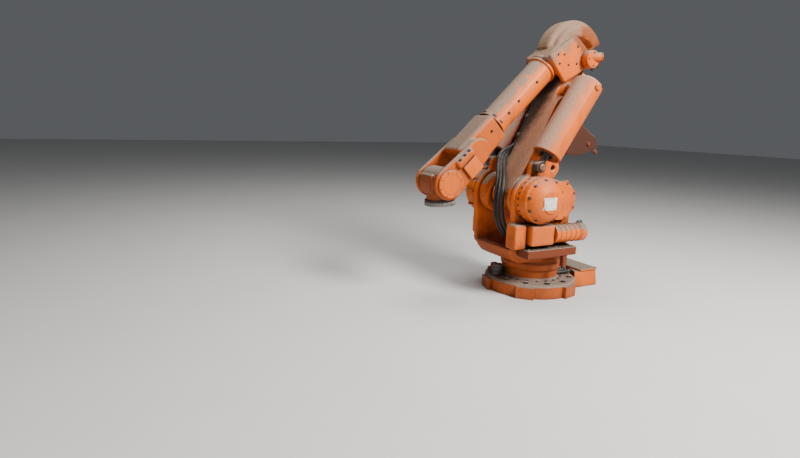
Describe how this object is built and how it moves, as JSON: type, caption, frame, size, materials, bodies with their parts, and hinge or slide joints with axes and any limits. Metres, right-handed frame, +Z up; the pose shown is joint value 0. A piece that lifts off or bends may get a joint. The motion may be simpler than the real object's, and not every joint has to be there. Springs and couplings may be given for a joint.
{
  "type": "industrial robot arm",
  "caption": "Large floor-mounted jointed robot arm with a parallel-bar drive, spring balance cylinders beside a leaning lower arm and a long forearm, in worn dusty orange.",
  "frame": {"origin": "centre of the base's underside, where the turning axis meets the floor", "axes": "+X forward, the way the upper arm reaches, +Y the robot's left, +Z up along the turning axis"},
  "size_m": [1.7521, 0.9634, 2.3222],
  "materials": {
    "bare_steel": "bare machined steel, dulled",
    "dark_orange": "old dark orange paint, matt with grime",
    "dusty_orange": "orange paint under a coat of tan dust",
    "grey_cast": "dull grey casting",
    "orange_paint": "worn satin orange paint"
  },
  "bodies": {
    "base": {"base_casting": "orange_paint", "connection_box": "orange_paint", "connection_box_lid": "dusty_orange", "turning_stop": "dark_orange", "position_switch": "grey_cast"},
    "turntable": {"turntable_casting": "orange_paint", "left_cheek": "orange_paint", "right_cheek": "orange_paint", "left_dome_cover": "orange_paint", "left_gear_cover": "orange_paint", "left_motor_box": "orange_paint", "left_drive_motor": "orange_paint", "left_motor_cap": "dusty_orange", "right_motor_box": "orange_paint", "right_drive_motor": "orange_paint", "right_motor_cap": "dusty_orange", "side_shelf": "dark_orange", "right_gear_housing": "orange_paint"},
    "lower_arm_body": {"lower_arm": "dusty_orange", "lower_arm_flange": "orange_paint"},
    "left_cylinder_body": {"left_spring_cylinder": "orange_paint"},
    "right_cylinder_body": {"right_spring_cylinder": "orange_paint"},
    "left_rod_body": {"left_spring_rod": "bare_steel"},
    "right_rod_body": {"right_spring_rod": "bare_steel"},
    "crank_body": {"parallel_arm": "orange_paint", "counterweight": "dark_orange"},
    "bar_body": {"parallel_bar": "orange_paint"},
    "upper_arm_body": {"elbow_casting": "dusty_orange", "elbow_hood": "dusty_orange", "left_wrist_motor": "orange_paint", "right_wrist_motor": "orange_paint", "right_side_drum": "dark_orange"},
    "forearm_body": {"forearm_tube": "orange_paint", "forearm_fork": "orange_paint", "left_wrist_cover": "orange_paint", "right_wrist_cover": "orange_paint", "wrist_side_box": "orange_paint"},
    "wrist_body": {"tilt_housing": "dusty_orange"},
    "disc_body": {"tool_disc": "bare_steel"}
  },
  "joints": [
    {"name": "axis_1", "type": "hinge", "parent": "base", "child": "turntable", "pos_m": [0, 0, 0.2], "axis": [0, 0, 1], "range_deg": [-180, 180]},
    {"name": "axis_2", "type": "hinge", "parent": "turntable", "child": "lower_arm_body", "pos_m": [0.27, 0, 0.85], "axis": [0, 1, 0], "range_deg": [-20, 45]},
    {"name": "axis_3", "type": "hinge", "parent": "lower_arm_body", "child": "upper_arm_body", "pos_m": [-0.27675, 0, 1.99628], "axis": [0, -1, 0], "range_deg": [-5, 45]},
    {"name": "parallel_arm_pivot", "type": "hinge", "parent": "lower_arm_body", "child": "crank_body", "pos_m": [0.27, 0, 0.85], "axis": [0, -1, 0], "range_deg": [-5, 45]},
    {"name": "parallel_bar_pivot", "type": "hinge", "parent": "crank_body", "child": "bar_body", "pos_m": [-0.01883, 0, 0.71224], "axis": [0, 1, 0], "range_deg": [-5, 45]},
    {"name": "left_spring_pin", "type": "hinge", "parent": "lower_arm_body", "child": "left_cylinder_body", "pos_m": [-0.16051, 0, 1.75259], "axis": [0, 1, 0], "range_deg": [-6.5, 14]},
    {"name": "right_spring_pin", "type": "hinge", "parent": "lower_arm_body", "child": "right_cylinder_body", "pos_m": [-0.16051, 0, 1.75259], "axis": [0, 1, 0], "range_deg": [-6.5, 14]},
    {"name": "left_rod_pin", "type": "hinge", "parent": "turntable", "child": "left_rod_body", "pos_m": [0.27, 0, 1.114], "axis": [0, 1, 0], "range_deg": [-26.5, 59]},
    {"name": "right_rod_pin", "type": "hinge", "parent": "turntable", "child": "right_rod_body", "pos_m": [0.27, 0, 1.114], "axis": [0, 1, 0], "range_deg": [-26.5, 59]},
    {"name": "axis_4", "type": "hinge", "parent": "upper_arm_body", "child": "forearm_body", "pos_m": [-0.16908, 0, 2.10778], "axis": [0.7193, 0, -0.6947], "range_deg": [-300, 300]},
    {"name": "axis_5", "type": "hinge", "parent": "forearm_body", "child": "wrist_body", "pos_m": [0.99985, 0, 0.97896], "axis": [0, 1, 0], "range_deg": [-170, 70]},
    {"name": "axis_6", "type": "hinge", "parent": "wrist_body", "child": "disc_body", "pos_m": [0.99985, 0, 0.97896], "axis": [-0.0698, 0, -0.9976], "range_deg": [-300, 300]}
  ],
  "couplings": [
    {"joint": "parallel_arm_pivot", "follows": "axis_3", "ratio": 1},
    {"joint": "parallel_bar_pivot", "follows": "axis_3", "ratio": 1},
    {"joint": "left_spring_pin", "follows": "axis_2", "ratio": 0.3},
    {"joint": "right_spring_pin", "follows": "axis_2", "ratio": 0.3},
    {"joint": "left_rod_pin", "follows": "axis_2", "ratio": 1.3},
    {"joint": "right_rod_pin", "follows": "axis_2", "ratio": 1.3}
  ]
}
